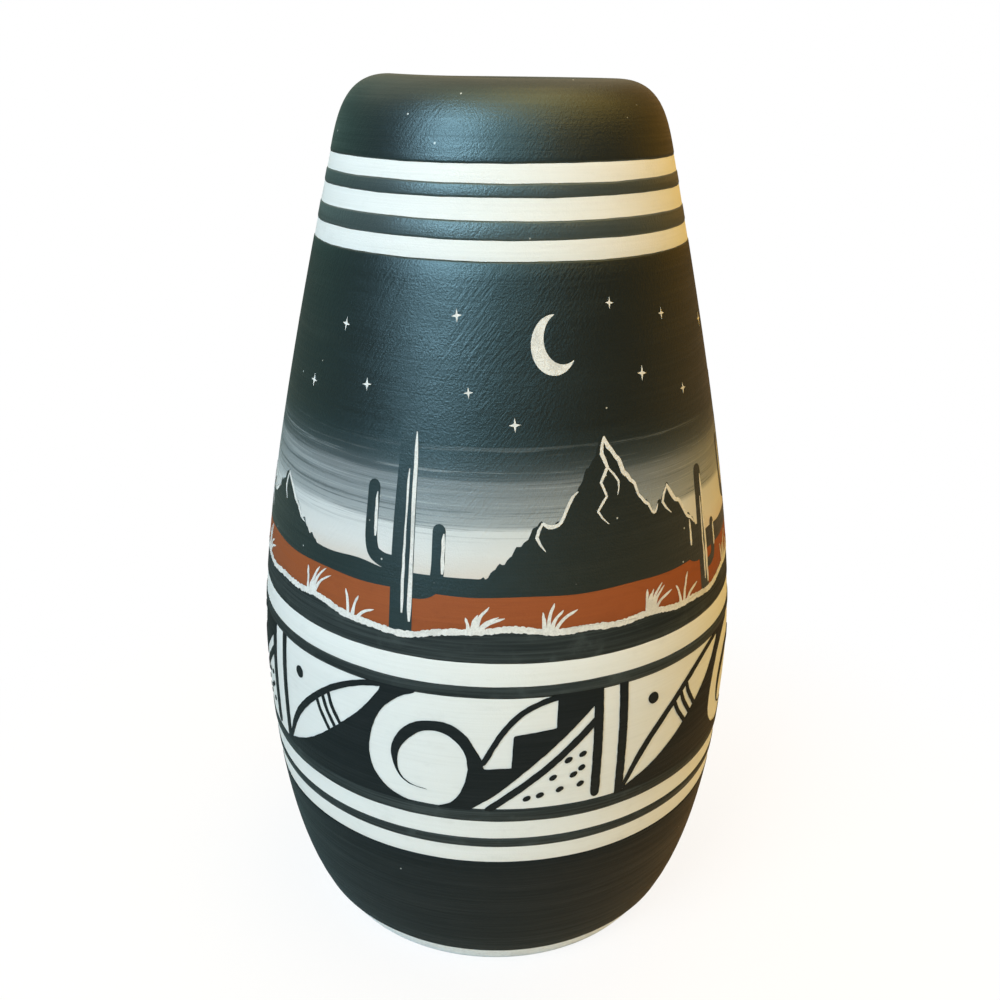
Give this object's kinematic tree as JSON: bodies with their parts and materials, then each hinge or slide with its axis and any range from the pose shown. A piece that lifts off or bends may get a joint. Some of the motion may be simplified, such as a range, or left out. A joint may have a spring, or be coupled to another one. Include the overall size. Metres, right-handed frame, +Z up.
{
  "type": "bud vase",
  "caption": "Tapered round bud vase with a narrow turned-in lip, a hollow glazed inside, a recessed foot ring and bands of dark, white and rust slip; stands on a table and holds flower stems.",
  "frame": {"origin": "centre of the foot ring, on the surface the vase stands on", "axes": "+Z up along the axis the body is turned about; the side that the picture shows faces -Y"},
  "size_m": [0.0978, 0.0978, 0.1676],
  "materials": {
    "clay": "bare fired clay, matte",
    "glaze": "clear glossy glaze over pale clay",
    "black_slip": "brushed black slip, satin",
    "white_slip": "white slip, matte to satin",
    "sky_slip": "black slip thinned downwards to pale, satin",
    "rust_slip": "rust-red slip, matte"
  },
  "bodies": {
    "root": {"clay_body": "clay", "liner_glaze": "glaze", "rim_band": "black_slip", "neck_white": "white_slip", "neck_line_1": "black_slip", "neck_line_2": "black_slip", "sky_band": "sky_slip", "rust_band": "rust_slip", "ground_band": "black_slip", "belly_white": "white_slip", "frieze_band": "black_slip", "hoop_line": "black_slip", "base_band": "black_slip"}
  },
  "joints": []
}
